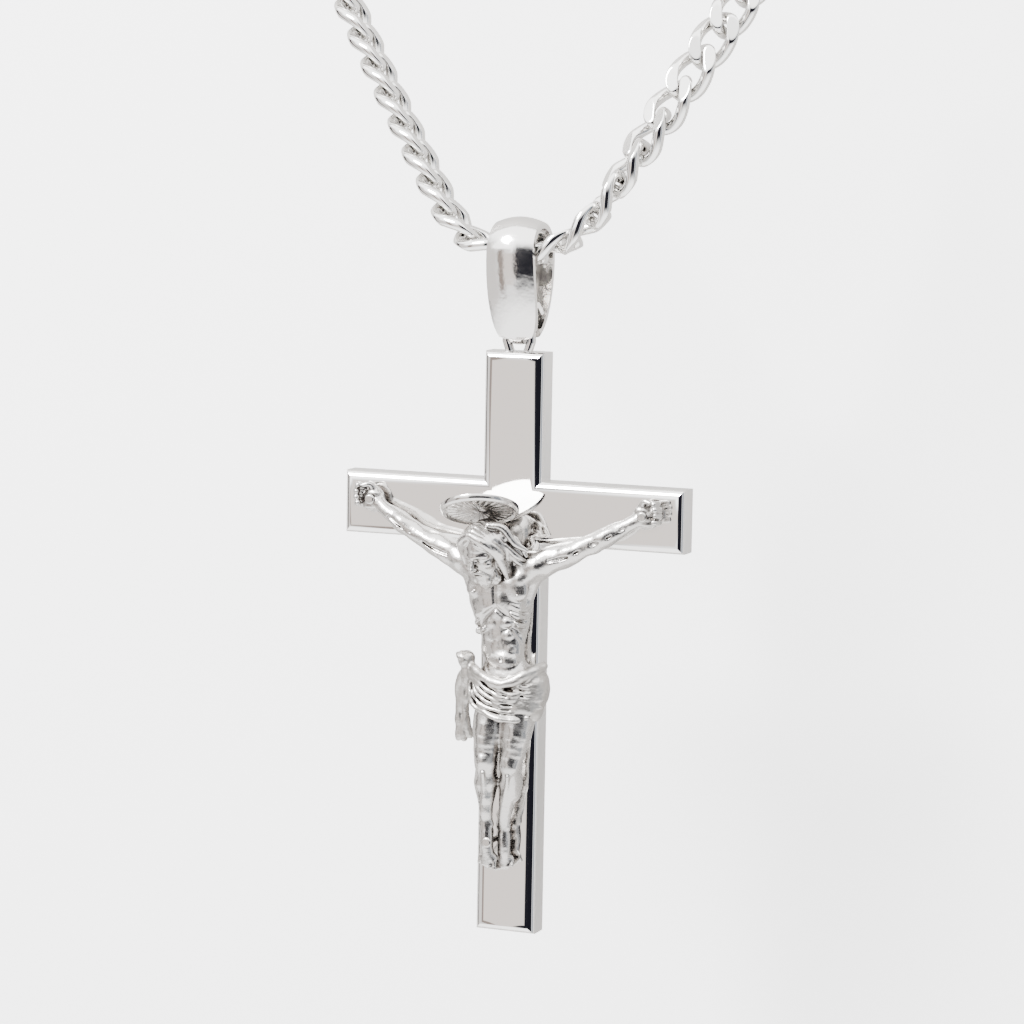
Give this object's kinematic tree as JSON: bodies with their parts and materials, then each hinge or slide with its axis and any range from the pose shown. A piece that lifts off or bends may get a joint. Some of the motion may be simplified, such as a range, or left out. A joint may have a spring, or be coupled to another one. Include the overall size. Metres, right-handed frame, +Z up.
{
  "type": "crucifix pendant",
  "caption": "Polished silver crucifix pendant with a cast corpus and rayed halo, hung by a wire loop and a bail on two strands of filed curb chain.",
  "frame": {"origin": "centre of the crossing on the flat back face of the cross", "axes": "+Z up the long bar towards the chain, -Y out of the front face, +X to the right seen from the front"},
  "size_m": [0.0425, 0.0177, 0.0839],
  "materials": {
    "silver_polished": "polished",
    "silver_chain": "polished",
    "silver_cast": "satin"
  },
  "bodies": {
    "cross": {"cross_body": "silver_polished", "hanging_loop": "silver_polished", "corpus_figure": "silver_cast", "halo": "silver_cast", "hand_nail_left": "silver_cast", "hand_nail_right": "silver_cast", "foot_nail": "silver_cast"},
    "bail": {"bail_band": "silver_polished", "bail_bridge": "silver_polished"},
    "chain_middle": {"chain_link_middle": "silver_chain"},
    "link_left_01": {"chain_link_left_01": "silver_chain"},
    "link_left_02": {"chain_link_left_02": "silver_chain"},
    "link_left_03": {"chain_link_left_03": "silver_chain"},
    "link_left_04": {"chain_link_left_04": "silver_chain"},
    "link_left_05": {"chain_link_left_05": "silver_chain"},
    "link_left_06": {"chain_link_left_06": "silver_chain"},
    "link_left_07": {"chain_link_left_07": "silver_chain"},
    "link_left_08": {"chain_link_left_08": "silver_chain"},
    "link_left_09": {"chain_link_left_09": "silver_chain"},
    "link_left_10": {"chain_link_left_10": "silver_chain"},
    "link_right_01": {"chain_link_right_01": "silver_chain"},
    "link_right_02": {"chain_link_right_02": "silver_chain"},
    "link_right_03": {"chain_link_right_03": "silver_chain"},
    "link_right_04": {"chain_link_right_04": "silver_chain"},
    "link_right_05": {"chain_link_right_05": "silver_chain"},
    "link_right_06": {"chain_link_right_06": "silver_chain"},
    "link_right_07": {"chain_link_right_07": "silver_chain"},
    "link_right_08": {"chain_link_right_08": "silver_chain"},
    "link_right_09": {"chain_link_right_09": "silver_chain"},
    "link_right_10": {"chain_link_right_10": "silver_chain"}
  },
  "joints": [
    {"name": "bail_swing", "type": "hinge", "parent": "cross", "child": "bail", "pos_m": [0, -0.0013, 0.01555], "axis": [1, 0, 0], "range_deg": [-28, 28]},
    {"name": "bail_slide", "type": "slide", "parent": "bail", "child": "chain_middle", "axis": [1, 0, 0], "range_m": [-0.0002, 0.0002]},
    {"name": "left_bend_01", "type": "hinge", "parent": "chain_middle", "child": "link_left_01", "pos_m": [-0.0019, -0.0013, 0.02185], "axis": [0.0485, 0.9986, -0.0196], "range_deg": [-12, 3]},
    {"name": "left_bend_02", "type": "hinge", "parent": "link_left_01", "child": "link_left_02", "pos_m": [-0.00486, -0.00113, 0.02305], "axis": [-0.682, 0, -0.7314], "range_deg": [-12, 0.5]},
    {"name": "left_bend_03", "type": "hinge", "parent": "link_left_02", "child": "link_left_03", "pos_m": [-0.00716, -0.00052, 0.02519], "axis": [0.186, 0.9511, -0.2468], "range_deg": [-12, 12]},
    {"name": "left_bend_04", "type": "hinge", "parent": "link_left_03", "child": "link_left_04", "pos_m": [-0.00899, 0.00047, 0.02762], "axis": [-0.8031, 0, -0.5958], "range_deg": [-12, 12]},
    {"name": "left_bend_05", "type": "hinge", "parent": "link_left_04", "child": "link_left_05", "pos_m": [-0.01081, 0.00146, 0.03006], "axis": [0.1823, 0.9511, -0.2495], "range_deg": [-12, 12]},
    {"name": "left_bend_06", "type": "hinge", "parent": "link_left_05", "child": "link_left_06", "pos_m": [-0.0126, 0.00244, 0.03252], "axis": [-0.8119, 0, -0.5837], "range_deg": [-12, 12]},
    {"name": "left_bend_07", "type": "hinge", "parent": "link_left_06", "child": "link_left_07", "pos_m": [-0.01438, 0.00343, 0.03499], "axis": [0.1785, 0.9511, -0.2522], "range_deg": [-12, 12]},
    {"name": "left_bend_08", "type": "hinge", "parent": "link_left_07", "child": "link_left_08", "pos_m": [-0.01613, 0.00442, 0.03748], "axis": [-0.8206, 0, -0.5715], "range_deg": [-12, 12]},
    {"name": "left_bend_09", "type": "hinge", "parent": "link_left_08", "child": "link_left_09", "pos_m": [-0.01787, 0.00541, 0.03997], "axis": [0.1747, 0.9511, -0.2549], "range_deg": [-12, 12]},
    {"name": "left_bend_10", "type": "hinge", "parent": "link_left_09", "child": "link_left_10", "pos_m": [-0.01959, 0.0064, 0.04248], "axis": [-0.829, 0, -0.5592], "range_deg": [-12, 12]},
    {"name": "right_bend_01", "type": "hinge", "parent": "chain_middle", "child": "link_right_01", "pos_m": [0.0013, -0.0013, 0.02185], "axis": [0, 1, 0], "range_deg": [-5, 12]},
    {"name": "right_bend_02", "type": "hinge", "parent": "link_right_01", "child": "link_right_02", "pos_m": [0.00427, -0.0013, 0.02305], "axis": [-0.682, 0, 0.7314], "range_deg": [-12, 0.5]},
    {"name": "right_bend_03", "type": "hinge", "parent": "link_right_02", "child": "link_right_03", "pos_m": [0.0066, -0.00102, 0.02522], "axis": [-0.3272, 0.9445, 0.0281], "range_deg": [-2, 12]},
    {"name": "right_bend_04", "type": "hinge", "parent": "link_right_03", "child": "link_right_04", "pos_m": [0.00827, -0.00052, 0.0279], "axis": [-0.6523, -0.5481, 0.5236], "range_deg": [-12, 12]},
    {"name": "right_bend_05", "type": "hinge", "parent": "link_right_04", "child": "link_right_05", "pos_m": [0.0099, 0.00011, 0.03059], "axis": [-0.7471, 0.611, 0.2618], "range_deg": [-12, 12]},
    {"name": "right_bend_06", "type": "hinge", "parent": "link_right_05", "child": "link_right_06", "pos_m": [0.01146, 0.00088, 0.03327], "axis": [-0.1985, -0.89, 0.4105], "range_deg": [-12, 12]},
    {"name": "right_bend_07", "type": "hinge", "parent": "link_right_06", "child": "link_right_07", "pos_m": [0.01297, 0.00178, 0.03595], "axis": [-0.8883, 0.0825, 0.4519], "range_deg": [-12, 12]},
    {"name": "right_bend_08", "type": "hinge", "parent": "link_right_07", "child": "link_right_08", "pos_m": [0.01442, 0.0028, 0.03861], "axis": [0.3189, -0.9185, 0.2337], "range_deg": [-12, 12]},
    {"name": "right_bend_09", "type": "hinge", "parent": "link_right_08", "child": "link_right_09", "pos_m": [0.01581, 0.00396, 0.04125], "axis": [-0.8472, -0.1592, 0.5069], "range_deg": [-12, 12]},
    {"name": "right_bend_10", "type": "hinge", "parent": "link_right_09", "child": "link_right_10", "pos_m": [0.01713, 0.00524, 0.04387], "axis": [0.3453, -0.8851, 0.3119], "range_deg": [-12, 12]}
  ]
}
